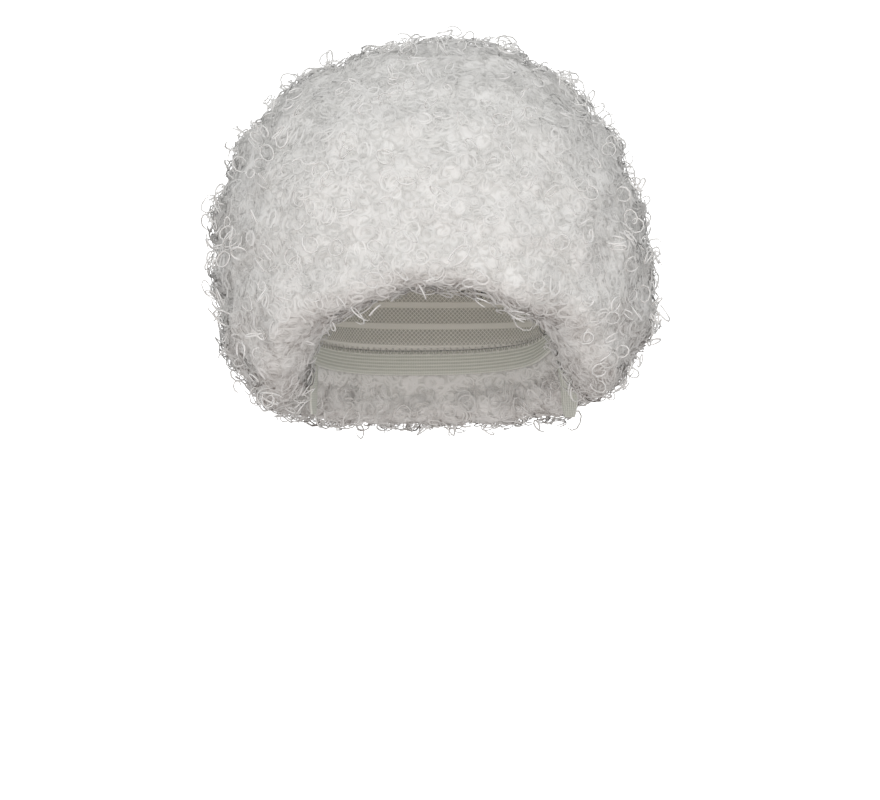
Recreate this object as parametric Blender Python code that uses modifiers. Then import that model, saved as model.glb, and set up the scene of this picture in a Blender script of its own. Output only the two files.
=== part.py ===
"""Curly clown wig: a stretch cap with an edge band and two ear tabs, under seven sewn rows of curly locks.

Metres, +Z up. The wearer faces -Y. The origin is where the crown of the head meets the inside of the cap.
"""

import math
import random

import bmesh
import bpy
from mathutils import Matrix, Vector

# The head that the cap fits
HEAD_WIDTH = 0.154
HEAD_LENGTH = 0.195
CROWN_RISE = 0.088  # from the widest level of the head up to the crown
LOWER_DRAW = 0.140  # half-height of the head's form below that level
HEAD_FULLNESS = 2.25  # 2 is an ellipsoid, more is fuller at the corners

# Cap, edge band and ear tabs
CAP_WALL = 0.0015
BAND_WALL = 0.0015
BAND_WIDTH = 0.014
TAB_WALL = 0.0012
TAB_WIDTH = 0.012
TAB_AZIMUTH = 108.0  # degrees from the front, behind the ear
TAB_STEPS = 6
TAB_TIP_SHARE = 0.2  # the stretch over which the free end narrows
TAB_TIP_WIDTH = 0.6  # width of its very end over the tab's
TAB_SETTLE = 0.62  # share of the length by which the tab has turned and stands off
# Each tab's length, how far its free end stands off the head, and the degrees that it turns, front edge out
TABS = (
    {"name": "ear_tab_right", "side": 1, "length": 0.0445, "flare": 0.0075, "twist": 45.0},
    {"name": "ear_tab_left", "side": -1, "length": 0.0300, "flare": 0.0010, "twist": 5.0},
)

# Hair, measured outwards from the head
HAIR_AT_SIDES = 0.0580
HAIR_AT_FRONT = 0.0425
HAIR_AT_BACK = 0.0530
HAIR_AT_TOP = 0.0735
HAIR_FULLNESS = 2.35
SIDE_UNDERCUT = 0.083  # half-height of the hair's form below the widest level, at the ears
NAPE_UNDERCUT = 0.108  # the same at the nape
EAR_CLEARANCE = 0.0070  # from the ear tabs out to the hanging hair
EAR_ROOM_SPREAD = 27.0  # degrees to each side of the tabs

# Locks
LOCK_SPACING = 0.045
LOCK_STAND = 0.0095  # how far a lock stands out of the strip that carries it
LOCK_DEPTH = 0.019  # half-size of a lock along the hair
LOCK_SINK = 0.42  # the most of the hair's depth that half a lock takes
LOCK_OVERLAP = 1.28  # a lock's width over its share of the row
LOCK_FIT = 1.18  # a lock's height over the height of its row
LOCK_SPREAD = 0.06  # how far lock widths vary
LOCK_UNEVEN = 0.15  # how far tips lie in or out, over the stand
LOCK_TURN = 0.3  # radians that a lock may be turned by
CROWN_MIDDLE = 0.8  # height of the crown's middle lock over the crown row
CROWN_RING = 0.4  # where the locks round it begin, as a share of the crown row

# Clearances
SEAT_GAP = 0.0007
ROW_GAP = 0.0006

# Where rows and the cap end, as shares of the way from the crown to the hair's lower edge
ROW_EDGES = (0.19, 0.33, 0.46, 0.59, 0.72, 0.85, 1.00)
RIM_SHARE = 0.90
HANG_RUN = 0.12  # how far the lowest locks may hang past the lower edge
STRIP_RUN = 0.02  # how far a strip runs past the room that trims it
AZIMUTH_STEPS = 24
STRIP_TURN = 0.43  # of a step, so that no edge of a strip meets an edge of the room that trims it

# The hair's lower edge: azimuth from the front, plus to the viewer's right, and angle down from the crown
LOWER_EDGE = (
    {"place": "nape", "azimuth": -180, "polar": 127},
    {"place": "behind left ear", "azimuth": -130, "polar": 128},
    {"place": "left ear", "azimuth": -92, "polar": 128},
    {"place": "before left ear", "azimuth": -70, "polar": 125},
    {"place": "left sideburn", "azimuth": -52, "polar": 114},
    {"place": "left temple", "azimuth": -35, "polar": 96.5},
    {"place": "forehead", "azimuth": 0, "polar": 87},
    {"place": "right temple", "azimuth": 35, "polar": 96.5},
    {"place": "right sideburn", "azimuth": 52, "polar": 114},
    {"place": "before right ear", "azimuth": 70, "polar": 122},
    {"place": "behind right ear", "azimuth": 108, "polar": 118},
    {"place": "right of the nape", "azimuth": 140, "polar": 126},
    {"place": "nape", "azimuth": 180, "polar": 127},
)

# Bulges and dents of the outer form, where and how wide in degrees, and the rise as a share of the radius
BULGES = (
    {"place": "left shoulder", "azimuth": -90, "polar": 56, "spread": 34, "rise": 0.022},
    {"place": "right shoulder", "azimuth": 90, "polar": 62, "spread": 26, "rise": -0.020},
    {"place": "right underside", "azimuth": 90, "polar": 118, "spread": 20, "rise": -0.030},
    {"place": "crown, left of the middle", "azimuth": -90, "polar": 12, "spread": 16, "rise": -0.012},
)

HEAD_MIDDLE = Vector((0, 0, -CROWN_RISE))

HAIR_WHITE = (0.80, 0.79, 0.77)
NET_WHITE = (0.72, 0.72, 0.69)
BAND_WHITE = (0.66, 0.66, 0.62)


def smooth(share):
    """A soft step from 0 to 1."""
    share = min(max(share, 0.0), 1.0)
    return share * share * (3.0 - 2.0 * share)


def direction(azimuth, polar):
    """Unit vector at an azimuth from the front and an angle down from the crown, in degrees."""
    around, down = math.radians(azimuth), math.radians(polar)
    return Vector((math.sin(down) * math.sin(around), -math.sin(down) * math.cos(around), math.cos(down)))


def form_radius(way, half_width, half_depth, half_height, fullness):
    """Distance from the middle of a rounded form to its surface."""
    shares = (way.x / half_width, way.y / half_depth, way.z / half_height)
    return sum(abs(share) ** fullness for share in shares) ** (-1.0 / fullness)


def edge_polar(azimuth):
    """Angle down from the crown to the hair's lower edge."""
    azimuth = (azimuth + 180.0) % 360.0 - 180.0
    for near, far in zip(LOWER_EDGE, LOWER_EDGE[1:]):
        if azimuth <= far["azimuth"]:
            along = (azimuth - near["azimuth"]) / (far["azimuth"] - near["azimuth"])
            return near["polar"] + (far["polar"] - near["polar"]) * smooth(along)
    return LOWER_EDGE[-1]["polar"]


def head_radius(way):
    half_height = CROWN_RISE if way.z > 0 else LOWER_DRAW
    return form_radius(way, HEAD_WIDTH / 2, HEAD_LENGTH / 2, half_height, HEAD_FULLNESS)


def ear_room(azimuth, share):
    """How far the hanging hair stands off the head at this place, which leaves room for ears and tabs."""
    azimuth = abs((azimuth + 180.0) % 360.0 - 180.0)
    beside_ear = math.exp(-(((azimuth - TAB_AZIMUTH) / EAR_ROOM_SPREAD) ** 2))
    room = max(tab_reach(tab) for tab in TABS) + EAR_CLEARANCE
    return room * beside_ear * smooth((share - RIM_SHARE) / (1.0 - RIM_SHARE))


def tab_reach(tab):
    """How far a tab's outer edge stands off the head."""
    return tab["flare"] + TAB_WIDTH / 2 * math.sin(math.radians(tab["twist"])) + (BAND_WALL + TAB_WALL) / 2


def inner_radius(azimuth, share):
    """Inside of the hair, just off the cap."""
    way = direction(azimuth, share * edge_polar(azimuth))
    carrier = max(CAP_WALL, BAND_WALL) + SEAT_GAP
    return head_radius(way) + carrier + ear_room(azimuth, share)


def outer_radius(azimuth, share):
    """Outside of the hair, at the tips of the locks."""
    polar = share * edge_polar(azimuth)
    way = direction(azimuth, polar)
    half_depth = HEAD_LENGTH / 2 + (HAIR_AT_FRONT if way.y < 0 else HAIR_AT_BACK)
    from_side = smooth((abs((azimuth + 180.0) % 360.0 - 180.0) - 90.0) / 90.0)
    undercut = SIDE_UNDERCUT + (NAPE_UNDERCUT - SIDE_UNDERCUT) * from_side
    half_height = CROWN_RISE + HAIR_AT_TOP if way.z > 0 else undercut
    half_width = HEAD_WIDTH / 2 + HAIR_AT_SIDES
    radius = form_radius(way, half_width, half_depth, half_height, HAIR_FULLNESS)
    for bulge in BULGES:
        away = math.degrees(way.angle(direction(bulge["azimuth"], bulge["polar"])))
        radius *= 1.0 + bulge["rise"] * math.exp(-((away / bulge["spread"]) ** 2))
    least = inner_radius(azimuth, share) + LOCK_STAND
    return max(radius, least)


def place(azimuth, share, radius):
    """Point of the row frame at a radius from the middle of the head's widest level."""
    return HEAD_MIDDLE + direction(azimuth, share * edge_polar(azimuth)) * radius


def azimuths():
    return [-180.0 + 360.0 * step / AZIMUTH_STEPS for step in range(AZIMUTH_STEPS)]


def strip_radius(azimuth, share):
    """Outside of the strip that carries a row's locks."""
    return max(outer_radius(azimuth, share) - LOCK_STAND, inner_radius(azimuth, share) + LOCK_STAND / 2)


def clear_radius(azimuth, share):
    """Past the tips of the locks."""
    return outer_radius(azimuth, share) + 2 * LOCK_STAND


def buried_radius(azimuth, share):
    """Under the inside of the hair, so that the strip fills its wedge."""
    return inner_radius(azimuth, share) - 2 * CAP_WALL


def cap_radius(azimuth, share):
    """Inside of the cap, which is the head's surface."""
    return head_radius(direction(azimuth, share * edge_polar(azimuth)))


def ring(radius_of, share_of, turn=0.0):
    """One loop of points round the head, turned by a part of a step. share_of gives each azimuth's share."""
    points = []
    for azimuth in azimuths():
        azimuth += turn * 360.0 / AZIMUTH_STEPS
        share = share_of(azimuth)
        points.append(place(azimuth, share, radius_of(azimuth, share)))
    return points


def on_facet(radius_of, azimuth, share):
    """Point on the straight edge between two points of a ring."""
    step = 360.0 / AZIMUTH_STEPS
    low = math.floor(azimuth / step) * step
    near = place(low, share, radius_of(low, share))
    far = place(low + step, share, radius_of(low + step, share))
    return near.lerp(far, (azimuth - low) / step)


def level(share):
    return lambda azimuth: share


def material(name, colour, roughness):
    made = bpy.data.materials.new(name)
    made.use_nodes = True
    shader = made.node_tree.nodes["Principled BSDF"]
    shader.inputs["Base Color"].default_value = (*colour, 1.0)
    shader.inputs["Roughness"].default_value = roughness
    shader.inputs["Metallic"].default_value = 0.0
    return made


def add_object(name, mesh, finish, home):
    made = bpy.data.objects.new(name, mesh)
    home.objects.link(made)
    mesh.materials.append(finish)
    return made


def stacked(mesh, rings):
    """Faces between rings that lie one below the other, all split along the same diagonal."""
    loops = [[mesh.verts.new(point) for point in points] for points in rings]
    for upper, lower in zip(loops, loops[1:]):
        join_loops(mesh, upper, lower)
    return loops


def join_loops(mesh, upper, lower):
    for step, corner in enumerate(upper):
        after = (step + 1) % len(upper)
        mesh.faces.new((corner, upper[after], lower[after]))
        mesh.faces.new((corner, lower[after], lower[step]))


def close_pole(mesh, point, loop):
    tip = mesh.verts.new(point)
    for here, there in zip(loop, loop[1:] + loop[:1]):
        mesh.faces.new((tip, here, there))


def finished(mesh, name, finish, home):
    """Turns the faces outwards and makes the object."""
    bmesh.ops.recalc_face_normals(mesh, faces=mesh.faces[:])
    data = bpy.data.meshes.new(name)
    mesh.to_mesh(data)
    mesh.free()
    return add_object(name, data, finish, home)


def lofted(name, outside, inside, finish, home, poles=()):
    """A closed solid between an outer and an inner stack of unlike rings, with a tip on each at its poles."""
    mesh = bmesh.new()
    outer, inner = stacked(mesh, outside), stacked(mesh, inside)
    join_loops(mesh, outer[-1], inner[-1])
    if poles:
        for pole, loop in zip(poles, (outer[0], inner[0])):
            close_pole(mesh, pole, loop)
    else:
        join_loops(mesh, outer[0], inner[0])
    return finished(mesh, name, finish, home)


def shell(name, rings, wall, finish, home, pole=None):
    """A thin wall grown outwards from a stack of rings on the head."""
    mesh = bmesh.new()
    loops = stacked(mesh, rings)
    if pole is not None:
        close_pole(mesh, pole, loops[0])
    made = finished(mesh, name, finish, home)
    if made.data.polygons[0].normal.dot(made.data.polygons[0].center - HEAD_MIDDLE) < 0:
        made.data.flip_normals()
    grown = made.modifiers.new("Wall", "SOLIDIFY")
    grown.thickness = wall
    grown.offset = 1.0
    grown.use_even_offset = True
    return made


def arc_length(azimuth):
    """Length over the cap from the crown to the hair's lower edge."""
    shares = [step / 12 for step in range(13)]
    points = [place(azimuth, share, cap_radius(azimuth, share)) for share in shares]
    return sum((far - near).length for near, far in zip(points, points[1:]))


def band_start(azimuth):
    """Share at which the edge band begins, a band's width above the rim."""
    return RIM_SHARE - BAND_WIDTH / arc_length(azimuth)


def cap_end(azimuth):
    return band_start(azimuth) - SEAT_GAP / arc_length(azimuth)


def make_cap(finish, home):
    """A thin dome from the crown down to the edge band."""
    shares = [ROW_EDGES[0] / 2]
    for near, far in zip(ROW_EDGES, ROW_EDGES[1:]):
        shares += [near, (near + far) / 2]
    limit = min(cap_end(azimuth) for azimuth in azimuths()) - STRIP_RUN
    levels = [level(share) for share in shares if share < limit] + [cap_end]
    rings = [ring(cap_radius, share_of) for share_of in levels]
    return shell("cap", rings, CAP_WALL, finish, home, pole=Vector())


def make_band(finish, home):
    """An elastic band that closes the cap's rim."""

    def middle(azimuth):
        return (band_start(azimuth) + RIM_SHARE) / 2

    levels = [band_start, middle, level(RIM_SHARE)]
    return shell("edge_band", [ring(cap_radius, share_of) for share_of in levels], BAND_WALL, finish, home)


def make_ear_tab(tab, finish, home):
    """A flat elastic tab that hangs from the band behind an ear. Side 1 is the viewer's right."""
    side = tab["side"]
    reach = math.degrees(TAB_WIDTH / HEAD_WIDTH)
    corners = []
    for azimuth in (TAB_AZIMUTH + reach, TAB_AZIMUTH - reach):
        below_rim = RIM_SHARE + SEAT_GAP / arc_length(azimuth * side)
        corners.append(on_facet(cap_radius, azimuth * side, below_rim))
    start = (corners[0] + corners[1]) / 2
    span = (corners[0] - corners[1]).normalized() * TAB_WIDTH / 2
    outward = Vector((start.x, start.y, 0)).normalized()
    start += outward * BAND_WALL / 2
    mesh = bmesh.new()
    rows = []
    for step in range(TAB_STEPS + 1):
        share = step / TAB_STEPS
        settled = smooth(share / TAB_SETTLE)
        middle = start + outward * tab["flare"] * settled - Vector((0, 0, tab["length"] * share))
        in_tip = max(0.0, 1.0 - (1.0 - share) / TAB_TIP_SHARE)
        narrowing = math.sqrt(1.0 - (1.0 - TAB_TIP_WIDTH**2) * in_tip)
        levelled = Vector((span.x, span.y, span.z * (1.0 - share)))
        turn = Matrix.Rotation(math.radians(tab["twist"] * side) * settled, 3, "Z")
        half_width = turn @ levelled * narrowing
        rows.append([mesh.verts.new(middle + half_width), mesh.verts.new(middle - half_width)])
    for upper, lower in zip(rows, rows[1:]):
        mesh.faces.new((upper[0], upper[1], lower[1], lower[0]))
    bmesh.ops.triangulate(mesh, faces=mesh.faces[:], quad_method="FIXED")
    made = finished(mesh, tab["name"], finish, home)
    grown = made.modifiers.new("Wall", "SOLIDIFY")
    grown.thickness = TAB_WALL
    grown.offset = 0.0
    return made


def row_frame(azimuth, share):
    """Directions along the row, down it and outwards, and the length down the hair for a whole share."""
    step_around, step_down = 1.0, 0.01
    share = max(share, 0.001)  # just off the pole, where azimuth means nothing
    here = place(azimuth, share, outer_radius(azimuth, share))
    beside = place(azimuth + step_around, share, outer_radius(azimuth + step_around, share))
    below = place(azimuth, share + step_down, outer_radius(azimuth, share + step_down))
    along = (beside - here).normalized()
    outward = (here - HEAD_MIDDLE).normalized()
    outward = (outward - along * outward.dot(along)).normalized()
    down = outward.cross(along)
    height = abs((below - here).dot(down)) / step_down
    return along, down, outward, height


def add_lock(mesh, azimuth, share, row_height, width, rise, twist):
    """One rounded lock, let into its strip."""
    along, down, outward, height = row_frame(azimuth, share)
    reach = outer_radius(azimuth, share) + rise
    hair = reach - inner_radius(azimuth, share)
    depth = min(LOCK_DEPTH, LOCK_SINK * hair)
    middle = place(azimuth, share, reach - depth)
    narrowing = (reach - depth) / reach
    half_height = row_height * height / 2 * narrowing * LOCK_FIT
    axes = Matrix((along * width / 2 * LOCK_OVERLAP, down * half_height, outward * depth)).transposed()
    turn = Matrix.Rotation(twist, 4, "Z")
    seated = Matrix.Translation(middle) @ axes.to_4x4() @ turn
    bmesh.ops.create_uvsphere(mesh, u_segments=8, v_segments=5, radius=1.0, matrix=seated)


def add_locks(mesh, near, far, chance):
    """The locks of one row, side by side all the way round."""
    share = (near + far) / 2
    points = ring(outer_radius, level(share))
    reached = [0.0]
    for here, there in zip(points, points[1:] + points[:1]):
        reached.append(reached[-1] + (there - here).length)
    length = reached[-1]
    count = max(4, round(length / LOCK_SPACING))
    start = chance.random()
    for lock in range(count):
        along = (lock + start) / count * length
        step = max(index for index, run in enumerate(reached[:-1]) if run <= along)
        part = (along - reached[step]) / (reached[step + 1] - reached[step])
        azimuth = -180.0 + 360.0 * (step + part) / AZIMUTH_STEPS
        width = length / count * (1.0 + chance.uniform(-LOCK_SPREAD, LOCK_SPREAD))
        rise = chance.uniform(-LOCK_UNEVEN, LOCK_UNEVEN) * LOCK_STAND
        add_lock(mesh, azimuth, share, far - near, width, rise, chance.uniform(-LOCK_TURN, LOCK_TURN))


def wedge(name, near, far, finish, home):
    """The room of one row between its neighbours and the cap."""
    gap = ROW_GAP / 2 / arc_length(0.0)
    middle = (near + min(far, 1.0)) / 2
    shares = [middle, far - gap] if near == 0.0 else [near + gap, middle, far - gap]
    if far > 1.0:
        shares.insert(-1, 1.0)
    outside = [ring(clear_radius, level(share)) for share in shares]
    inside = [ring(inner_radius, level(share)) for share in shares]
    poles = ()
    if near == 0.0:
        poles = (place(0.0, 0.0, clear_radius(0.0, 0.0)), place(0.0, 0.0, inner_radius(0.0, 0.0)))
    return lofted(name, outside, inside, finish, home, poles)


def strip(name, near, far, finish, home):
    """The strip that carries a row's locks, a little past its wedge where a neighbour follows."""
    shares = [max(near - STRIP_RUN, 0.0), (near + far) / 2, min(far + STRIP_RUN, 1.0)]
    poles = ()
    if near == 0.0:
        shares = shares[1:]
        poles = (place(0.0, 0.0, strip_radius(0.0, 0.0)), place(0.0, 0.0, buried_radius(0.0, 0.0)))
    outside = [ring(strip_radius, level(share), STRIP_TURN) for share in shares]
    inside = [ring(buried_radius, level(share), STRIP_TURN) for share in shares]
    return lofted(name, outside, inside, finish, home, poles)


def hidden(helper):
    helper.hide_render = True
    helper.display_type = "WIRE"
    return helper


def combined(target, helper, label, operation):
    step = target.modifiers.new(label, "BOOLEAN")
    step.operation = operation
    step.solver = "EXACT"
    step.use_self = operation == "UNION"
    step.object = helper
    weld = target.modifiers.new("Weld", "WELD")
    weld.merge_threshold = 0.000005


def make_row(name, near, far, finish, home, helpers, chance):
    """One sewn row: a strip on the cap with its locks fused to it. near is 0 for the crown."""
    row = strip(name, near, far, finish, home)
    locks = bmesh.new()
    if near == 0.0:
        add_lock(locks, 0.0, 0.0, CROWN_MIDDLE * far, LOCK_SPACING, 0.0, LOCK_TURN)
        add_locks(locks, CROWN_RING * far, far, chance)
    else:
        add_locks(locks, near, far, chance)
    combined(row, hidden(finished(locks, name + "_locks", finish, helpers)), "Locks", "UNION")
    reach = far if far < 1.0 else 1.0 + HANG_RUN
    combined(row, hidden(wedge(name + "_room", near, reach, finish, helpers)), "Room", "INTERSECT")
    return row


def main():
    for old in list(bpy.data.objects):
        bpy.data.objects.remove(old)
    wig = bpy.data.collections.new("curly_clown_wig")
    helpers = bpy.data.collections.new("lock_helpers")
    for collection in (wig, helpers):
        bpy.context.scene.collection.children.link(collection)
    hair = material("white_curled_fibre", HAIR_WHITE, 0.55)
    net = material("white_stretch_net", NET_WHITE, 0.85)
    elastic = material("pale_elastic", BAND_WHITE, 0.75)
    make_cap(net, wig)
    make_band(elastic, wig)
    for tab in TABS:
        make_ear_tab(tab, elastic, wig)
    edges = (0.0, *ROW_EDGES)
    for number, (near, far) in enumerate(zip(edges, edges[1:])):
        name = "crown_curls" if number == 0 else f"curl_row_{number}"
        make_row(name, near, far, hair, wig, helpers, random.Random(number))


main()
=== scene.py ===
"""The looks of a white curly wig: springy fibre curls on a net cap with an elastic edge."""
import math

import bmesh
import bpy
import numpy as np
from mathutils import Matrix, Vector
from mathutils.bvhtree import BVHTree


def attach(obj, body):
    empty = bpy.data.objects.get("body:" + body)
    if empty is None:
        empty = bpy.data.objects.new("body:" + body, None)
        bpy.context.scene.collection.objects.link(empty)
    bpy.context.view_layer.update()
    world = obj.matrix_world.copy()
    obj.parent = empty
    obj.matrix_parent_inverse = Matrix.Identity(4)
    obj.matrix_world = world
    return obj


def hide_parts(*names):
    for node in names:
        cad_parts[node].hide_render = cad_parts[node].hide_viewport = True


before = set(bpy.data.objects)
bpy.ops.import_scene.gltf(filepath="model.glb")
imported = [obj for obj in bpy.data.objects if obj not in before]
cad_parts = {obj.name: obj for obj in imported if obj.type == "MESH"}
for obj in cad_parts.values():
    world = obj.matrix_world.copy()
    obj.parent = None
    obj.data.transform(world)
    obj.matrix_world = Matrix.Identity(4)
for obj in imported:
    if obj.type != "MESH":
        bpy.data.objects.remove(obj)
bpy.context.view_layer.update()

MM = 0.001
FULL_TURN = 2 * math.pi
WHITE = "#FFFFFF"

HAIR_NODES = ["crown_curls"] + [f"curl_row_{row}" for row in range(1, 7)]
CAP_NODES = ["cap", "edge_band"]
CAP_MIDDLE = (0.0, 0.0, -0.088)

# The matted hair under the curls
PACKED_VOXEL = 4.6 * MM
PACKED_DEPTH = 3.2 * MM  # below the tips of the outermost curls
ON_CAP_WITHIN = 5 * MM  # hair this near the cap stays where the solid has it
CLEAR_OF_CAP = 9 * MM  # hair further than this from the cap is smoothed
VOXEL_ROUNDS = 3  # of smoothing, which take the voxels' steps away
GROOVE_ROUNDS = 22  # of smoothing, which close the grooves between the rows
REGAIN = 0.6 * MM  # what that smoothing takes off the outside
SWELL = 1.2 * MM
SWELL_SIZE = 9 * MM
SWELL_SEED = 3
# The random waves that swell the hair and bend the curls: how many, how much finer each is
# than the one before, as a share of the first, and what brings their sum down to about 1
RIPPLES = 5
RIPPLE_FINER = 0.35
RIPPLE_LEVEL = 3.2
# Where the hair is teased out further or pressed in: the middle in metres, the reach and how far
TEASED = [
    ((0.012, 0.0, 0.070), 36 * MM, 4.5 * MM),
    ((-0.061, 0.0, 0.064), 22 * MM, -4.5 * MM),
    ((0.062, 0.0, 0.057), 18 * MM, 3.0 * MM),
    ((-0.132, 0.0, -0.020), 60 * MM, 4.0 * MM),
    ((-0.120, 0.0, -0.132), 22 * MM, 6.0 * MM),
    ((0.130, 0.0, -0.085), 45 * MM, 5.0 * MM),
]

# How a curl is spun. A real strand is some dozens of fibres of 0.05 mm that cling together,
# too fine to show one by one, and is drawn as one tube.
CURL_SIDES = 3
STEPS_PER_TURN = 9
STEPS_LEAST = 6
TIP_STEPS = 2.5  # the strand narrows over these steps at each end
TIP_SHARE = 0.25  # of its thickness, at the very end
CURL_PITCH = (1.6 * MM, 4.6 * MM)
CURL_NARROWING = (0.15, 0.75)
CURL_OVAL = (0.72, 1.0)
WAVE = 0.9 * MM
WAVE_SIZE = 11 * MM
WAVE_SEED = 5

# The locks, each of one or two springy strands
LOCK_FORMS = 40
LOCK_TURNS = (1.2, 2.0)
LOCK_RADIUS = (4.6 * MM, 7.0 * MM)
LOCK_THREAD = (0.36 * MM, 0.5 * MM)
LOCK_TRIES = 40000
LOCK_SPACING = 5.6 * MM
LOCK_STRANDS = (1, 2)
LOCK_SCALE = (0.82, 1.18)
LOCK_TILT = 42  # degrees
LOCK_DEPTH = (0.2 * MM, 4.2 * MM)
LOCK_SOFTNESS = 0.74  # share of the mass's own roundness in the light on a lock
LOCK_CLEARANCE = 6 * MM  # from a lock's middle to the cap
STRAND_SIZE = (0.94, 1.06)
STRAND_TONE = 0.15
# How a lock's second strand differs from its first
SECOND_SMALLER = 0.13
SECOND_SHIFT = 1.4 * MM
SECOND_STRAY = 0.5 * MM
SECOND_LEAN = 0.12
SECOND_SPIN = 0.9  # radians

# The loose loops that stand out of the mass
FLYAWAY_COUNT = 700
FLYAWAY_FORMS = 16
FLYAWAY_TURNS = (0.8, 1.3)
FLYAWAY_RADIUS = (4.5 * MM, 7.0 * MM)
FLYAWAY_THREAD = (0.48 * MM, 0.62 * MM)
FLYAWAY_HEIGHT = (0.0, 4.6 * MM)
FLYAWAY_SCALE = (0.8, 1.15)
FLYAWAY_TILT = 90  # degrees
FLYAWAY_CLEARANCE = 18 * MM
FLYAWAY_SOFTNESS = 0.1
# The loose loops all take the lightest end of the painted shade, as if they lay at the tips
FLYAWAY_SHADE = 1.0

# The rings and bends in the look of the matted hair: each ring's size and how it is turned
RINGS = ((9 * MM, 0.0), (12 * MM, 0.7), (7.5 * MM, 1.9))
RINGS_IN_ONE = 2.6
BEND_SIZE = 14 * MM
BEND = 6 * MM

# The cap and what is sewn to it
CAP_RADIUS = 85 * MM
CAP_ROUNDS = 2  # of subdivision
NET_CELL = 2.4 * MM
WEFT_SPACING = 12 * MM
BAND_RADIUS = 86 * MM
BAND_WALL = 1.5 * MM
BAND_STEPS = 24  # the solid's steps round the cap
BAND_ROUNDS = 2
ELASTIC_RIBS = 7
THREAD_SPACING = 1.4 * MM
THREAD_HEIGHT = 0.35  # of a rib's
TAB_ROUNDS = 3
TAB_LEVEL = 2.6 * MM  # vertices of a tab nearer in height than this are one level
SHARP_ANGLE = math.radians(50)
STITCH_WIDTH = 5.0 * MM
STITCH_STEP = 2.2 * MM
STITCH_THREAD = 0.3 * MM
STITCH_SLANT = 0.45  # radians
STITCH_RISE = 0.35  # of a stitch's arch, to half its width

# The studio. The camera is level and 2.1 m away.
CAMERA_PLACE = (0.0026, -2.078, -0.1465)
CAMERA_LENS = 140.4
CAMERA_SENSOR = 36.0
WIG_MIDDLE = (0.0, 0.0, -0.06)
AMBIENT = 0.6
# Each light's name, place, size in metres, power in watts and colour
LIGHTS = [
    ("key", (0.0, -2.2, 0.65), 1.5, 19.5, WHITE),
    ("low_bounce", (0.0, -1.5, -1.5), 1.2, 3.4, "#FFD6C4"),
    ("back_fill", (0.0, 2.2, 0.4), 1.5, 17, WHITE),
]
WALL_RADIUS = 5.0
WALL_GLOW = 1.0
FLOOR_HEIGHT = -2.4
FLOOR_RADIUS = 4.3
FLOOR_GLOW = 0.3

# The one source of chance for all the curls, so that each run lays them alike
rng = np.random.default_rng(11)


def linear(hex_colour):
    """An sRGB hex colour as the linear colour that a shader takes."""
    value = hex_colour.lstrip("#")
    parts = [int(value[i:i + 2], 16) / 255 for i in (0, 2, 4)]
    return [p / 12.92 if p <= 0.04045 else ((p + 0.055) / 1.055) ** 2.4 for p in parts] + [1.0]


def add(tree, kind, links=None, values=None, stops=(), **settings):
    """A node of that kind with its settings. Links and values go to sockets by name or number."""
    made = tree.nodes.new(kind)
    for name, value in settings.items():
        setattr(made, name, value)
    for socket, value in (values or {}).items():
        made.inputs[socket].default_value = value
    for socket, source in (links or {}).items():
        tree.links.new(source, made.inputs[socket])
    if stops:
        bands = made.color_ramp.elements
        while len(bands) < len(stops):
            bands.new(0.5)
        for band, (place, hex_colour) in zip(bands, stops):
            band.position = place
            band.color = linear(hex_colour)
    return made


def new_finish(name, roughness, ior=1.5):
    """A new opaque finish: the material, its node tree and its Principled shader."""
    made = bpy.data.materials.new(name)
    made.use_nodes = True
    shader = made.node_tree.nodes["Principled BSDF"]
    shader.inputs["Roughness"].default_value = roughness
    shader.inputs["IOR"].default_value = ior
    return made, made.node_tree, shader


def crimped_modacrylic():
    """Modacrylic fibre, set in springs by heat: white, with a soft gloss along each strand.

    The fibre lets light through, so that a strand deep in the mass is only a little greyer
    than one at the tips. That greyness is painted shade: each strand is painted greyer the
    deeper it lies, and has a random tone of its own on top.
    """
    made, tree, shader = new_finish("crimped_modacrylic", 0.42)
    # Painted shade: 1 at the tips, less the deeper a strand lies, plus a random tone per strand;
    # the ramp paints deeper strands greyer
    painted_shade_and_tone = add(tree, "ShaderNodeAttribute", attribute_name="painted_shade_and_tone")
    tint = add(tree, "ShaderNodeValToRGB", {0: painted_shade_and_tone.outputs["Fac"]},
               stops=[(0.0, "#E1E0DD"), (0.6, "#E7E6E3"), (1.0, "#F4F3F1")])
    tree.links.new(tint.outputs["Color"], shader.inputs["Base Color"])
    return made


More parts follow.
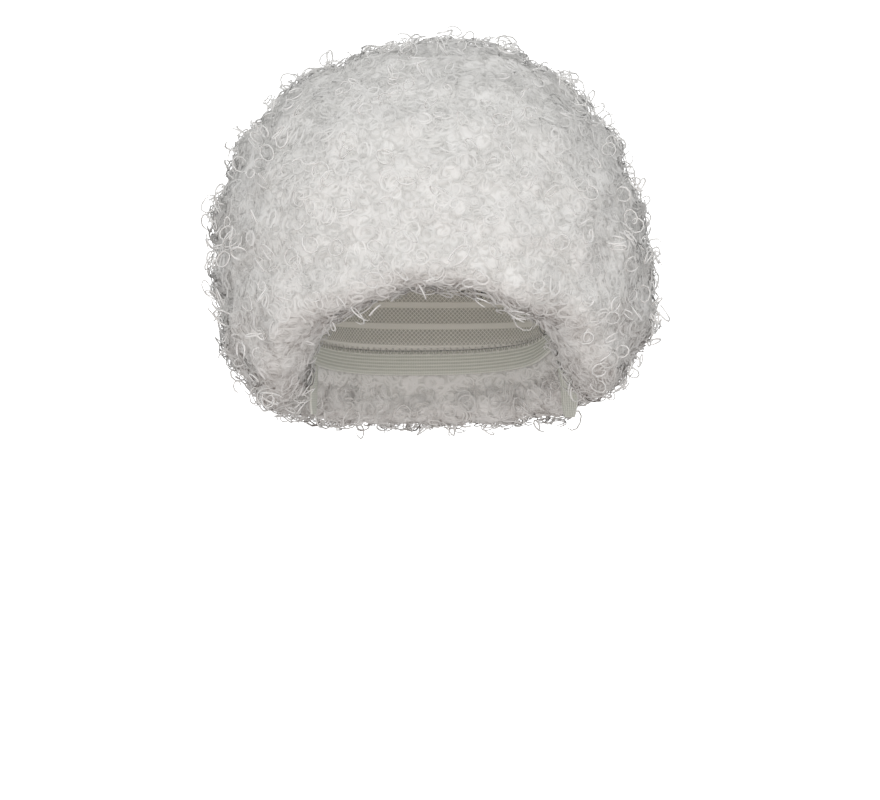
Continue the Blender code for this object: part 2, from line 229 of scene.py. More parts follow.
def packed_modacrylic():
    """The same fibre matted below the tips: rings upon rings, soft and nearly without gloss.

    The rings are as large as the real curls, 7.5 to 12 mm, and a slow bend keeps any of
    them from being a true circle. Their lines are 3 to 5 mm apart. The real strands lie
    closer, too fine to show, and are drawn that coarse. The tint is painted shade: the
    matted hair is painted greyer than the curls' tips, and darker between the ring lines.
    """
    made, tree, shader = new_finish("packed_modacrylic", 0.55)
    place = add(tree, "ShaderNodeTexCoord").outputs["Object"]
    bend = add(tree, "ShaderNodeTexNoise", {"Vector": place},
               {"Scale": 1 / BEND_SIZE, "Detail": 1.0})
    centred = add(tree, "ShaderNodeVectorMath", {0: bend.outputs["Color"]},
                  {1: (0.5, 0.5, 0.5)}, operation="SUBTRACT")
    small = add(tree, "ShaderNodeVectorMath", {0: centred.outputs[0]},
                {"Scale": BEND}, operation="SCALE")
    bent = add(tree, "ShaderNodeVectorMath", {0: place, 1: small.outputs[0]}, operation="ADD")
    heights = []
    for ring_size, turn in RINGS:
        turned = add(tree, "ShaderNodeMapping", {"Vector": bent.outputs[0]},
                     {"Rotation": (turn, 2 * turn, turn), "Location": (turn, 0, 0)})
        cells = add(tree, "ShaderNodeTexVoronoi", {"Vector": turned.outputs[0]},
                    {"Scale": 1 / ring_size})
        rings = add(tree, "ShaderNodeMath", {0: cells.outputs["Distance"]},
                    {1: FULL_TURN * RINGS_IN_ONE}, operation="MULTIPLY")
        wave = add(tree, "ShaderNodeMath", {0: rings.outputs[0]}, operation="COSINE")
        heights.append(wave.outputs[0])
    first = add(tree, "ShaderNodeMath", {0: heights[0], 1: heights[1]}, operation="MAXIMUM")
    top = add(tree, "ShaderNodeMath", {0: first.outputs[0], 1: heights[2]}, operation="MAXIMUM")
    spread = add(tree, "ShaderNodeMapRange", {"Value": top.outputs[0]},
                 {"From Min": -0.6, "From Max": 1.0})
    # Painted shade: greyer than the curls' tips, and darkest between the ring lines
    tint = add(tree, "ShaderNodeValToRGB", {0: spread.outputs[0]},
               stops=[(0.0, "#DAD9D6"), (0.5, "#E3E2DF"), (1.0, "#EDECEA")])
    relief = add(tree, "ShaderNodeBump", {"Height": spread.outputs[0]},
                 {"Strength": 0.5, "Distance": 0.8 * MM})
    tree.links.new(tint.outputs["Color"], shader.inputs["Base Color"])
    tree.links.new(relief.outputs[0], shader.inputs["Normal"])
    return made


def warp_knitted_net():
    """Warp-knitted polyester net with wefts sewn on: matt, slanting cells between denser tapes.

    The real cells are about 1.2 mm, too fine to show, and are drawn twice as coarse.
    """
    made, tree, shader = new_finish("warp_knitted_net", 0.72)
    place = add(tree, "ShaderNodeTexCoord").outputs["Object"]
    centred = add(tree, "ShaderNodeVectorMath", {0: place}, {1: CAP_MIDDLE}, operation="SUBTRACT")
    parts = add(tree, "ShaderNodeSeparateXYZ", {0: centred.outputs[0]})
    level = add(tree, "ShaderNodeVectorMath", {0: centred.outputs[0]}, {1: (1.0, 1.0, 0.0)},
                operation="MULTIPLY")
    reach = add(tree, "ShaderNodeVectorMath", {0: level.outputs[0]}, operation="LENGTH")
    fall = add(tree, "ShaderNodeMath", {0: reach.outputs["Value"], 1: parts.outputs["Z"]},
               operation="ARCTAN2")
    turn = add(tree, "ShaderNodeMath", {0: parts.outputs["X"], 1: parts.outputs["Y"]},
               operation="ARCTAN2")
    rows = add(tree, "ShaderNodeMath", {0: fall.outputs[0]}, {1: CAP_RADIUS / WEFT_SPACING},
               operation="MULTIPLY")
    # Each row has a whole number of cells round the cap, fewer towards the crown.
    row = add(tree, "ShaderNodeMath", {0: rows.outputs[0]}, operation="FLOOR")
    middle = add(tree, "ShaderNodeMath", {0: row.outputs[0]},
                 {1: WEFT_SPACING / CAP_RADIUS, 2: WEFT_SPACING / CAP_RADIUS / 2},
                 operation="MULTIPLY_ADD")
    width = add(tree, "ShaderNodeMath", {0: middle.outputs[0]}, operation="SINE")
    cells = add(tree, "ShaderNodeMath", {0: width.outputs[0]},
                {1: FULL_TURN * CAP_RADIUS / NET_CELL}, operation="MULTIPLY")
    whole = add(tree, "ShaderNodeMath", {0: cells.outputs[0]}, operation="ROUND")
    across = add(tree, "ShaderNodeMath", {0: turn.outputs[0], 1: whole.outputs[0]},
                 operation="MULTIPLY")
    down = add(tree, "ShaderNodeMath", {0: fall.outputs[0]},
               {1: FULL_TURN * CAP_RADIUS / NET_CELL}, operation="MULTIPLY")
    threads = []
    for way in ("ADD", "SUBTRACT"):
        slant = add(tree, "ShaderNodeMath", {0: across.outputs[0], 1: down.outputs[0]},
                    operation=way)
        threads.append(add(tree, "ShaderNodeMath", {0: slant.outputs[0]}, operation="COSINE"))
    crossed = add(tree, "ShaderNodeMath", {0: threads[0].outputs[0], 1: threads[1].outputs[0]},
                  operation="MAXIMUM")
    thread = add(tree, "ShaderNodeMapRange", {"Value": crossed.outputs[0]},
                 {"From Min": 0.5, "From Max": 0.85})
    weft = add(tree, "ShaderNodeMath", {0: rows.outputs[0]}, {1: FULL_TURN}, operation="MULTIPLY")
    wave = add(tree, "ShaderNodeMath", {0: weft.outputs[0]}, operation="COSINE")
    tape = add(tree, "ShaderNodeMapRange", {"Value": wave.outputs[0]},
               {"From Min": 0.55, "From Max": 0.75})
    height = add(tree, "ShaderNodeMath", {0: thread.outputs[0], 1: tape.outputs[0]},
                 operation="MAXIMUM")
    # The threads and tapes take the net's own pale colour; the open cells between them are painted
    # darker, as painted shade seen through the holes
    tint = add(tree, "ShaderNodeValToRGB", {0: height.outputs[0]},
               stops=[(0.0, "#B9B8B0"), (0.5, "#D5D4CC"), (1.0, "#E7E6DF")])
    relief = add(tree, "ShaderNodeBump", {"Height": height.outputs[0]},
                 {"Strength": 0.7, "Distance": 0.5 * MM})
    tree.links.new(tint.outputs["Color"], shader.inputs["Base Color"])
    tree.links.new(relief.outputs[0], shader.inputs["Normal"])
    return made


def woven_elastic():
    """Woven elastic: rubber cords stand up as ribs along it, crossed by fine white threads.

    The real threads lie 0.4 mm apart, too fine to show, and are drawn 1.4 mm apart.
    """
    made, tree, shader = new_finish("woven_elastic", 0.66)
    across = add(tree, "ShaderNodeAttribute", attribute_name="across")
    ribs = add(tree, "ShaderNodeMath", {0: across.outputs["Fac"]},
               {1: FULL_TURN * ELASTIC_RIBS}, operation="MULTIPLY")
    rib_wave = add(tree, "ShaderNodeMath", {0: ribs.outputs[0]}, operation="COSINE")
    along = add(tree, "ShaderNodeAttribute", attribute_name="along")
    threads = add(tree, "ShaderNodeMath", {0: along.outputs["Fac"]},
                  {1: FULL_TURN / THREAD_SPACING}, operation="MULTIPLY")
    thread_wave = add(tree, "ShaderNodeMath", {0: threads.outputs[0]}, operation="SINE")
    woven = add(tree, "ShaderNodeMath", {0: thread_wave.outputs[0], 2: rib_wave.outputs[0]},
                {1: THREAD_HEIGHT}, operation="MULTIPLY_ADD")
    height = add(tree, "ShaderNodeMapRange", {"Value": woven.outputs[0]},
                 {"From Min": -1 - THREAD_HEIGHT, "From Max": 1 + THREAD_HEIGHT})
    # The tape's own colour is the ramp's middle; it is painted darker where the weave lies low,
    # between the ribs and threads: painted shade
    tint = add(tree, "ShaderNodeValToRGB", {0: height.outputs[0]},
               stops=[(0.0, "#C3C5BC"), (0.5, "#D9DBD2"), (1.0, "#E5E6DF")])
    relief = add(tree, "ShaderNodeBump", {"Height": height.outputs[0]},
                 {"Strength": 0.6, "Distance": 0.4 * MM})
    tree.links.new(tint.outputs["Color"], shader.inputs["Base Color"])
    tree.links.new(relief.outputs[0], shader.inputs["Normal"])
    return made


def spun_polyester_thread():
    """Sewing thread spun of polyester: white, twisted, with a slight lustre."""
    made, tree, shader = new_finish("spun_polyester_thread", 0.5)
    place = add(tree, "ShaderNodeTexCoord").outputs["Object"]
    twist = add(tree, "ShaderNodeTexNoise", {"Vector": place}, {"Scale": 1 / (0.8 * MM)})
    tint = add(tree, "ShaderNodeValToRGB", {0: twist.outputs["Fac"]},
               stops=[(0.3, "#E2E1DC"), (0.7, "#F4F3F0")])
    tree.links.new(tint.outputs["Color"], shader.inputs["Base Color"])
    return made


def merged_copy(names):
    """One bmesh of those CAD nodes, each merged from its loose triangles."""
    bm = bmesh.new()
    for name in names:
        bm.from_mesh(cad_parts[name].data)
    bmesh.ops.remove_doubles(bm, verts=bm.verts, dist=1e-6)
    return bm


def placed(name, mesh, material):
    """The mesh as a smooth-shaded piece of the scene in one finish."""
    mesh.materials.append(material)
    mesh.polygons.foreach_set("use_smooth", np.ones(len(mesh.polygons), bool))
    piece = bpy.data.objects.new(name, mesh)
    bpy.context.scene.collection.objects.link(piece)
    return piece


def piece_of(bm, name, material):
    """The bmesh, used up, as a piece."""
    mesh = bpy.data.meshes.new(name)
    bm.to_mesh(mesh)
    bm.free()
    return placed(name, mesh, material)


def part_of_wig(piece, slot, *nodes):
    """The piece rides with the wig and stands for those CAD nodes, which are hidden; the slot is
    not used.
    """
    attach(piece, "root")
    if nodes:
        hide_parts(*nodes)


def smoothed(bm, verts, rounds):
    """Smooths those vertices in place."""
    for _ in range(rounds):
        bmesh.ops.smooth_vert(bm, verts=verts, factor=0.5,
                              use_axis_x=True, use_axis_y=True, use_axis_z=True)
    bm.normal_update()


def one_mass(names):
    """Those CAD nodes as one evenly meshed lump."""
    rows = merged_copy(names)
    mesh = bpy.data.meshes.new("mass")
    rows.to_mesh(mesh)
    rows.free()
    lump = bpy.data.objects.new("mass", mesh)
    bpy.context.scene.collection.objects.link(lump)
    remesh = lump.modifiers.new("voxels", "REMESH")
    remesh.mode = "VOXEL"
    remesh.voxel_size = PACKED_VOXEL
    done = lump.evaluated_get(bpy.context.evaluated_depsgraph_get()).to_mesh()
    mass = bmesh.new()
    mass.from_mesh(done)
    bpy.data.objects.remove(lump)
    bpy.data.meshes.remove(mesh)
    smoothed(mass, mass.verts, VOXEL_ROUNDS)
    return mass


def share_free(place, cap_tree):
    """0 for hair that lies on the cap, up to 1 for hair that is well clear of it."""
    gap = cap_tree.find_nearest(place)[3]
    return min(1.0, max(0.0, gap / ON_CAP_WITHIN - 1.0))


def filled_grooves(mass, cap_tree):
    """Closes the grooves between the rows, as brushing does."""
    outer = [v for v in mass.verts if cap_tree.find_nearest(v.co)[3] > CLEAR_OF_CAP]
    smoothed(mass, outer, GROOVE_ROUNDS)
    moved = [v.co + v.normal * REGAIN * share_free(v.co, cap_tree) for v in mass.verts]
    for vert, place in zip(mass.verts, moved):
        vert.co = place
    mass.normal_update()


def teased(mass, cap_tree):
    """Pulls the hair out here and presses it in there, so that no side is quite even."""
    for vert in mass.verts:
        far = sum(amount * math.exp(-((vert.co - Vector(middle)).length / reach) ** 2)
                  for middle, reach, amount in TEASED)
        vert.co += vert.normal * far * share_free(vert.co, cap_tree)
    mass.normal_update()


def rippled(points, size, seed):
    """Some random waves laid over one another: three numbers of up to about 1 for each point."""
    chance = np.random.default_rng(seed)
    total = np.zeros_like(points)
    for finer in range(RIPPLES):
        wave = chance.normal(size=(3, 3)) / size * (1.0 + RIPPLE_FINER * finer)
        phase = chance.uniform(0, FULL_TURN, 3)
        total += np.sin(points @ wave + phase)
    return total / RIPPLE_LEVEL


def vertex_array(bm):
    """The vertices' places, one a row."""
    return np.array([v.co for v in bm.verts], float)


def make_packed_hair(mass, cap_tree):
    """The matted hair of all the rows, as one lump just under the outermost curls."""
    lump = mass.copy()
    swell = rippled(vertex_array(lump), SWELL_SIZE, SWELL_SEED) * SWELL
    for vert, rise in zip(lump.verts, swell):
        free = share_free(vert.co, cap_tree)
        vert.co += (Vector(rise) - vert.normal * PACKED_DEPTH) * free
    piece = piece_of(lump, "packed_under_hair", packed_modacrylic())
    part_of_wig(piece, "curled_fibre", *HAIR_NODES)


def curl_form(turns, radius, pitch, thread, narrowing, oval):
    """One springy strand as a closed tube with tapered ends: a triangle spun along a helix.

    Gives its points, the way out of the tube at each, and the corners of its sides and ends.
    """
    steps = max(STEPS_LEAST, round(turns * STEPS_PER_TURN))
    bm = bmesh.new()
    bmesh.ops.create_circle(bm, segments=CURL_SIDES, radius=thread)
    bmesh.ops.rotate(bm, verts=bm.verts, matrix=Matrix.Rotation(math.pi / 2, 3, "X"))
    bmesh.ops.translate(bm, verts=bm.verts, vec=(radius, 0, 0))
    bmesh.ops.spin(bm, geom=bm.verts[:] + bm.edges[:], axis=(0, 0, 1), steps=steps,
                   angle=turns * FULL_TURN, dvec=(0, 0, pitch * turns / steps))
    open_ends = [e for e in bm.edges if e.is_boundary]
    bmesh.ops.holes_fill(bm, edges=open_ends, sides=CURL_SIDES)
    bmesh.ops.recalc_face_normals(bm, faces=bm.faces)
    bm.verts.index_update()
    rings = vertex_array(bm).reshape(-1, CURL_SIDES, 3)
    middles = rings.mean(axis=1, keepdims=True)
    rounds = rings - middles
    along = np.linspace(0, 1, len(rings))[:, None, None]
    taper = np.clip(np.minimum(along, 1 - along) * len(rings) / TIP_STEPS + TIP_SHARE, 0, 1)
    middles[..., :2] *= 1 - narrowing * along
    middles[..., 1:2] *= oval
    middles[..., 2] -= pitch * turns / 2
    points = (middles + rounds * taper).reshape(-1, 3)
    rounds = rounds.reshape(-1, 3) / thread
    faces = [[v.index for v in f.verts] for f in bm.faces]
    bm.free()
    sides = np.array([f for f in faces if len(f) == 4])
    ends = np.array([f for f in faces if len(f) == 3])
    return points, rounds, sides, ends


def curl_forms(count, turns, radius, thread):
    """A set of different curls."""
    made = []
    for _ in range(count):
        made.append(curl_form(rng.uniform(*turns), rng.uniform(*radius), rng.uniform(*CURL_PITCH),
                              rng.uniform(*thread), rng.uniform(*CURL_NARROWING),
                              rng.uniform(*CURL_OVAL)))
    return made


class Heap:
    """The curls laid for one piece."""

    def __init__(self):
        self.points, self.normals, self.shades = [], [], []
        self.sides, self.ends = [], []
        self.count = 0

    def lay(self, form, places, frames, scales, shades, outward, softness):
        """Copies of one curl at those places, lit partly as the mass that they lie on."""
        points, rounds, sides, ends = form
        number = len(places)
        normals = np.einsum("kij,vj->kvi", frames, rounds) * (1 - softness)
        normals = (normals + outward[:, None] * softness).reshape(-1, 3)
        normals /= np.linalg.norm(normals, axis=1, keepdims=True) + 1e-9
        laid = np.einsum("kij,vj->kvi", frames, points) * scales[:, None, None] + places[:, None]
        first = (np.arange(number) * len(points))[:, None, None] + self.count
        self.points.append(laid.reshape(-1, 3))
        self.normals.append(normals)
        self.shades.append(np.repeat(shades, len(points)))
        self.sides.append((sides[None] + first).reshape(-1, 4))
        self.ends.append((ends[None] + first).reshape(-1, 3))
        self.count += number * len(points)

    def piece(self, name, material, waviness):
        """The laid curls as one mesh, with their painted shades and tones and their own normals."""
        points = np.concatenate(self.points)
        points = points + rippled(points, WAVE_SIZE, WAVE_SEED) * waviness
        sides, ends = np.concatenate(self.sides), np.concatenate(self.ends)
        corners = np.concatenate([sides.ravel(), ends.ravel()])
        starts = np.concatenate([np.arange(len(sides)) * 4,
                                 len(sides) * 4 + np.arange(len(ends)) * 3])
        mesh = bpy.data.meshes.new(name)
        mesh.vertices.add(len(points))
        mesh.vertices.foreach_set("co", points.astype(np.float32).ravel())
        mesh.loops.add(len(corners))
        mesh.loops.foreach_set("vertex_index", corners.astype(np.int32))
        mesh.polygons.add(len(starts))
        mesh.polygons.foreach_set("loop_start", starts.astype(np.int32))
        mesh.update(calc_edges=True)
        mesh.validate()
        # Each point's painted shade, with its strand's random tone
        painted_shade_and_tone = mesh.attributes.new("painted_shade_and_tone", "FLOAT", "POINT")
        painted_shade_and_tone.data.foreach_set("value", np.concatenate(self.shades).astype(np.float32))
        piece = placed(name, mesh, material)
        mesh.normals_split_custom_set_from_vertices(np.concatenate(self.normals))
        return piece


def turned_frames(axes, spins):
    """Rotation matrices that carry +Z to each axis, after a spin about it."""
    side = np.cross(axes, np.where(np.abs(axes[:, 2:]) < 0.9, [[0, 0, 1.0]], [[1.0, 0, 0]]))
    side /= np.linalg.norm(side, axis=1, keepdims=True)
    other = np.cross(axes, side)
    cos, sin = np.cos(spins)[:, None], np.sin(spins)[:, None]
    return np.stack([side * cos + other * sin, other * cos - side * sin, axes], axis=2)


def spaced(places, spacing):
    """The indexes of as many of the places as can be kept that far apart."""
    cells = {}
    kept = []
    keys = np.floor(places / spacing).astype(int)
    around = [(i, j, k) for i in (-1, 0, 1) for j in (-1, 0, 1) for k in (-1, 0, 1)]
    limit = spacing * spacing
    for index, (place, key) in enumerate(zip(places.tolist(), keys.tolist())):
        near = False
        for i, j, k in around:
            for other in cells.get((key[0] + i, key[1] + j, key[2] + k), ()):
                gap = sum((a - b) ** 2 for a, b in zip(place, other))
                near = near or gap < limit
        if not near:
            cells.setdefault(tuple(key), []).append(place)
            kept.append(index)
    return np.array(kept)


def scattered(faces, count):
    """Random points on the faces, evenly by area, with their normals."""
    corners, normals, areas = [], [], []
    for face in faces:
        ring = [v.co for v in face.verts]
        for i in range(1, len(ring) - 1):
            corners.append([ring[0], ring[i], ring[i + 1]])
            normals.append([v.normal for v in (face.verts[0], face.verts[i], face.verts[i + 1])])
            areas.append((ring[i] - ring[0]).cross(ring[i + 1] - ring[0]).length / 2)
    corners, normals = np.array(corners), np.array(normals)
    total = np.cumsum(areas)
    pick = np.searchsorted(total, rng.uniform(0, total[-1], count))
    u, v = rng.uniform(0, 1, (2, count))
    flip = u + v > 1
    u[flip], v[flip] = 1 - u[flip], 1 - v[flip]
    weights = np.stack([1 - u - v, u, v], axis=1)[:, :, None]
    normal = (normals[pick] * weights).sum(axis=1)
    normal /= np.linalg.norm(normal, axis=1, keepdims=True)
    return (corners[pick] * weights).sum(axis=1), normal


def tilted(normals, degrees_most):
    """Each normal leant over by a random angle, in a random direction."""
    lean = rng.normal(size=normals.shape)
    lean -= (lean * normals).sum(axis=1, keepdims=True) * normals
    lean /= np.linalg.norm(lean, axis=1, keepdims=True)
    angle = np.radians(rng.uniform(0, degrees_most, (len(normals), 1)))
    return normals * np.cos(angle) + lean * np.sin(angle)


def gaps_to(tree, points):
    """The distance from each point to the surface in the tree."""
    return np.array([tree.find_nearest(Vector(p))[3] for p in points])


def lay_locks(heaps, open_faces, row_trees, cap_tree):
    """Short springs of one or two strands, spread evenly over the mass and half sunk in it."""
    forms = curl_forms(LOCK_FORMS, LOCK_TURNS, LOCK_RADIUS, LOCK_THREAD)
    places, normals = scattered(open_faces, LOCK_TRIES)
    kept = spaced(places, LOCK_SPACING)
    places, normals = places[kept], normals[kept]
    count = len(places)
    rows = np.argmin([gaps_to(tree, places) for tree in row_trees], axis=0)
    depths = rng.uniform(*LOCK_DEPTH, count)
    centres = places - normals * depths[:, None]
    clear = gaps_to(cap_tree, centres) > LOCK_CLEARANCE
    axes = tilted(normals, LOCK_TILT)
    spins = rng.uniform(0, FULL_TURN, count)
    scales = rng.uniform(*LOCK_SCALE, count)
    # Painted shade: a lock sunk deeper in the mass is painted greyer, 1 at the tips down to 0 at
    # the deepest
    shades = 1 - (depths - LOCK_DEPTH[0]) / (LOCK_DEPTH[1] - LOCK_DEPTH[0])
    which = rng.integers(0, LOCK_FORMS, count)
    strands = rng.integers(LOCK_STRANDS[0], LOCK_STRANDS[1] + 1, count)
    for strand in range(LOCK_STRANDS[1]):
        size = scales * (1 - SECOND_SMALLER * strand) * rng.uniform(*STRAND_SIZE, count)
        along = rng.uniform(-SECOND_SHIFT, SECOND_SHIFT, (count, 1)) * strand
        shift = centres + axes * along + rng.normal(0, SECOND_STRAY, (count, 3)) * strand
        lean = axes + rng.normal(0, SECOND_LEAN, (count, 3)) * strand
        lean /= np.linalg.norm(lean, axis=1, keepdims=True)
        turned = spins + rng.uniform(-SECOND_SPIN, SECOND_SPIN, count) * strand
        frames = turned_frames(lean, turned)
        # The painted shade with a random tone added for each strand
        tone_with_shade = np.clip(shades + rng.uniform(-STRAND_TONE, STRAND_TONE, count), 0, 1)
        for row, heap in enumerate(heaps):
            for number, form in enumerate(forms):
                take = (rows == row) & (which == number) & (strands > strand) & clear
                if take.any():
                    heap.lay(form, shift[take], frames[take], size[take], tone_with_shade[take],
                             normals[take], LOCK_SOFTNESS)


def lay_flyaways(heaps, open_faces, row_trees, cap_tree):
    """Single loose loops that stand out of the mass and break its outline."""
    forms = curl_forms(FLYAWAY_FORMS, FLYAWAY_TURNS, FLYAWAY_RADIUS, FLYAWAY_THREAD)
    places, normals = scattered(open_faces, FLYAWAY_COUNT)
    rows = np.argmin([gaps_to(tree, places) for tree in row_trees], axis=0)
    centres = places + normals * rng.uniform(*FLYAWAY_HEIGHT, (FLYAWAY_COUNT, 1))
    clear = gaps_to(cap_tree, centres) > FLYAWAY_CLEARANCE
    axes = tilted(normals, FLYAWAY_TILT)
    frames = turned_frames(axes, rng.uniform(0, FULL_TURN, FLYAWAY_COUNT))
    scales = rng.uniform(*FLYAWAY_SCALE, FLYAWAY_COUNT)
    # Painted shade: the loose loops are all painted as light as the tips
    shades = np.full(FLYAWAY_COUNT, FLYAWAY_SHADE)
    which = rng.integers(0, FLYAWAY_FORMS, FLYAWAY_COUNT)
    for row, heap in enumerate(heaps):
        for number, form in enumerate(forms):
            take = (rows == row) & (which == number) & clear
            if take.any():
                heap.lay(form, centres[take], frames[take], scales[take], shades[take],
                         normals[take], FLYAWAY_SOFTNESS)


def make_hair():
    """The matted mass, and on it the curls of each row as a piece of their own."""
    cap_tree = BVHTree.FromBMesh(merged_copy(CAP_NODES))
    row_trees = [BVHTree.FromBMesh(merged_copy([name])) for name in HAIR_NODES]
    mass = one_mass(HAIR_NODES)
    filled_grooves(mass, cap_tree)
    teased(mass, cap_tree)
    open_faces = [f for f in mass.faces
                  if cap_tree.find_nearest(f.calc_center_median())[3] > ON_CAP_WITHIN]
    make_packed_hair(mass, cap_tree)
    heaps = [Heap() for _ in HAIR_NODES]
    lay_locks(heaps, open_faces, row_trees, cap_tree)
    lay_flyaways(heaps, open_faces, row_trees, cap_tree)
    fibre = crimped_modacrylic()
    for heap, node in zip(heaps, HAIR_NODES):
        curls = heap.piece(f"{node}_curls", fibre, WAVE)
        # The real fibre lets light through, so that curls hardly darken one another.
        curls.visible_shadow = False
        part_of_wig(curls, "curled_fibre", node)


def quads_of(node):
    """A merged copy of a CAD node in quads, its rims kept sharp, ready for a woven pattern."""
    bm = merged_copy([node])
    bmesh.ops.join_triangles(bm, faces=bm.faces, angle_face_threshold=math.pi,
                             angle_shape_threshold=math.pi)
    bm.verts.layers.float.new("across")
    bm.verts.layers.float.new("along")
    crease = bm.edges.layers.float.new("crease_edge")
    bm.normal_update()
    for edge in bm.edges:
        edge[crease] = float(edge.calc_face_angle(0.0) > SHARP_ANGLE)
    return bm


def subdivided(piece, rounds):
    """Rounds the piece off by live subdivision."""
    subdivision = piece.modifiers.new("subdivision", "SUBSURF")
    subdivision.levels = rounds
    subdivision.render_levels = rounds


def woven_places(bm, groups, lengthwise):
    """Writes each vertex's place across the strip, 0 to 1, and along it, in metres."""
    across = bm.verts.layers.float["across"]
    along = bm.verts.layers.float["along"]
    for group in groups:
        for vert, share in group:
            vert[across] = share
            vert[along] = lengthwise(vert.co)


def make_cap():
    """The stretch net under the hair."""
    piece = piece_of(quads_of("cap"), "net_cap", warp_knitted_net())
    subdivided(piece, CAP_ROUNDS)
    part_of_wig(piece, "stretch_net", "cap")


def band_groups(bm):
    """The band's vertices by azimuth, each with its share of the height."""
    turns = {}
    for vert in bm.verts:
        step = round(math.atan2(vert.co.y, vert.co.x) * BAND_STEPS / FULL_TURN)
        turns.setdefault(step % BAND_STEPS, []).append(vert)
    groups = []
    for step in sorted(turns):
        group = sorted(turns[step], key=lambda vert: vert.co.z)
        groups.append([(vert, round(2 * i / (len(group) - 1)) / 2) for i, vert in enumerate(group)])
    return groups


def make_band(elastic):
    """The elastic edge. Returns the middle line of its upper rim, which is sewn to the net."""
    bm = quads_of("edge_band")
    groups = band_groups(bm)
    woven_places(bm, groups, lambda place: math.atan2(place.y, place.x) * BAND_RADIUS)
    rim = [sum((vert.co for vert, share in group if share == 1), Vector()) / 2
           for group in groups]
    piece = piece_of(bm, "elastic_edge", elastic)
    subdivided(piece, BAND_ROUNDS)
    part_of_wig(piece, "elastic", "edge_band")
    return rim


def smooth_loop(corners, spacing):
    """Points along the smooth closed line that a subdivided edge through the corners follows."""
    line = []
    count = len(corners)
    for i in range(count):
        before, here, after, beyond = [corners[(i + k) % count] for k in (-1, 0, 1, 2)]
        parts = max(2, round((after - here).length / spacing))
        for k in range(parts):
            t = k / parts
            line.append((before * (1 - t) ** 3 + here * (3 * t ** 3 - 6 * t ** 2 + 4)
                         + after * (1 + 3 * t + 3 * t ** 2 - 3 * t ** 3) + beyond * t ** 3) / 6)
    return np.array(line)


def make_edge_seam(rim):
    """The zigzag that joins the elastic to the net's edge, stitch by stitch."""
    places = smooth_loop(rim, STITCH_STEP)
    count = len(places)
    ahead = np.roll(places, -1, axis=0) - places
    ahead /= np.linalg.norm(ahead, axis=1, keepdims=True)
    inward = np.cross([0.0, 0.0, 1.0], ahead)
    inward /= np.linalg.norm(inward, axis=1, keepdims=True)
    up = np.cross(ahead, inward)
    slant = np.where(np.arange(count) % 2, STITCH_SLANT, -STITCH_SLANT)[:, None]
    upright = up * np.cos(slant) + ahead * np.sin(slant)
    frames = np.stack([upright, inward, np.cross(upright, inward)], axis=2)
    stitch = curl_form(turns=0.5, radius=STITCH_WIDTH / 2, pitch=0.0, thread=STITCH_THREAD,
                       narrowing=0.0, oval=STITCH_RISE)
    heap = Heap()
    heap.lay(stitch, places + inward * BAND_WALL / 2, frames, np.ones(count), np.ones(count),
             inward, 0.0)
    part_of_wig(heap.piece("edge_zigzag", spun_polyester_thread(), 0.0), "elastic")


def make_ear_tab(node, elastic):
    """A tape tab that hangs from the elastic, to pull the wig straight by."""
    bm = quads_of(node)
    levels = {}
    for vert in sorted(bm.verts, key=lambda vert: -vert.co.z):
        key = next((z for z in levels if abs(z - vert.co.z) < TAB_LEVEL), vert.co.z)
        levels.setdefault(key, []).append(vert)
    groups = []
    for group in levels.values():
        middle = sum(vert.co.y for vert in group) / len(group)
        groups.append([(vert, float(vert.co.y > middle)) for vert in group])
    woven_places(bm, groups, lambda place: place.z)
    piece = piece_of(bm, f"{node}_tape", elastic)
    subdivided(piece, TAB_ROUNDS)
    part_of_wig(piece, "elastic", node)


def make_camera():
    """The camera, level and facing the wig's front."""
    lens = bpy.data.cameras.new("camera")
    lens.lens = CAMERA_LENS
    lens.sensor_width = CAMERA_SENSOR
    camera = bpy.data.objects.new("camera", lens)
    camera.location = CAMERA_PLACE
    camera.rotation_euler = (math.pi / 2, 0, 0)
    bpy.context.scene.collection.objects.link(camera)
    bpy.context.scene.camera = camera


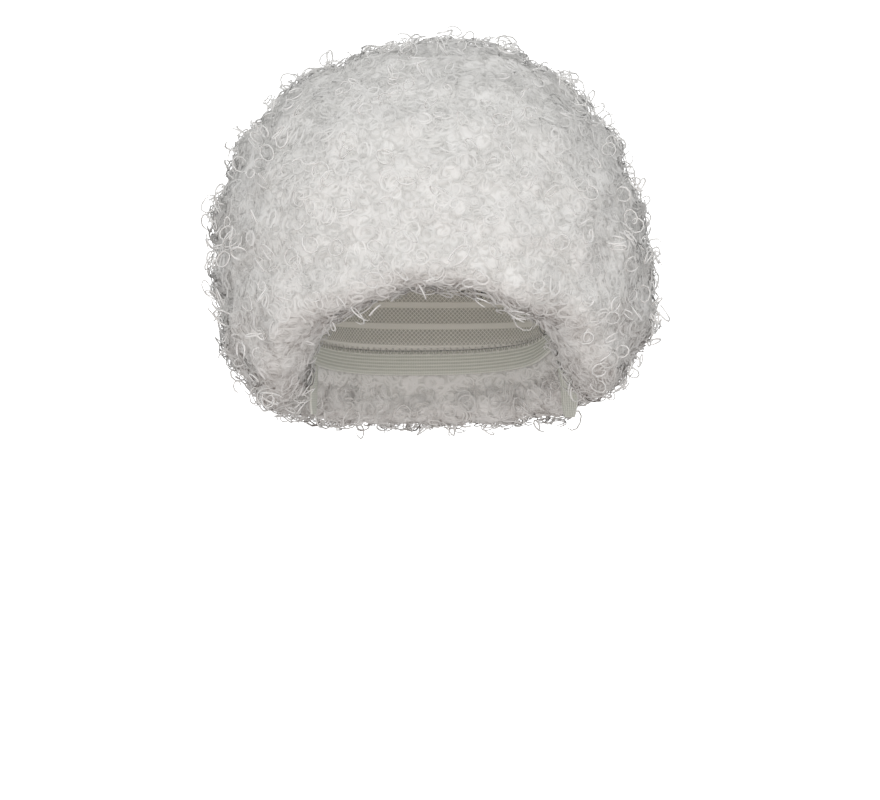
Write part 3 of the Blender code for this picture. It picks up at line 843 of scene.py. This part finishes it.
def soft_light(name, place, size, watts, hex_colour):
    """A round soft box that faces the wig."""
    lamp = bpy.data.lights.new(name, "AREA")
    lamp.shape = "DISK"
    lamp.size = size
    lamp.energy = watts
    lamp.color = linear(hex_colour)[:3]
    light = bpy.data.objects.new(name, lamp)
    light.location = place
    light.rotation_mode = "QUATERNION"
    light.rotation_quaternion = (Vector(WIG_MIDDLE) - Vector(place)).to_track_quat("-Z", "Y")
    bpy.context.scene.collection.objects.link(light)


def backdrop(bm, name, finish_name, hex_colour, glow):
    """A stage piece that only the camera sees, so that it throws no light on the wig."""
    made, _, shader = new_finish(finish_name, 0.9)
    shader.inputs["Base Color"].default_value = linear(hex_colour)
    shader.inputs["Emission Color"].default_value = linear(hex_colour)
    shader.inputs["Emission Strength"].default_value = glow
    piece = piece_of(bm, name, made)
    piece.visible_diffuse = False
    piece.visible_glossy = False
    piece.visible_shadow = False
    piece.visible_transmission = False


def make_studio():
    """Soft even light, a white wall all round and a pale floor."""
    world = bpy.data.worlds.new("studio")
    world.use_nodes = True
    backing = world.node_tree.nodes["Background"]
    backing.inputs["Color"].default_value = linear(WHITE)
    backing.inputs["Strength"].default_value = AMBIENT
    bpy.context.scene.world = world
    for light in LIGHTS:
        soft_light(*light)
    wall = bmesh.new()
    bmesh.ops.create_uvsphere(wall, u_segments=48, v_segments=24, radius=WALL_RADIUS)
    backdrop(wall, "studio_wall", "white_studio_wall", WHITE, WALL_GLOW)
    floor = bmesh.new()
    bmesh.ops.create_circle(floor, cap_ends=True, segments=64, radius=FLOOR_RADIUS)
    bmesh.ops.translate(floor, verts=floor.verts, vec=(0, 0, FLOOR_HEIGHT))
    backdrop(floor, "floor", "pale_floor_paint", "#F2F1EF", FLOOR_GLOW)
    bpy.context.scene.view_settings.view_transform = "Standard"


make_hair()
make_cap()
elastic = woven_elastic()
make_edge_seam(make_band(elastic))
make_ear_tab("ear_tab_right", elastic)
make_ear_tab("ear_tab_left", elastic)
make_camera()
make_studio()

bpy.context.view_layer.update()
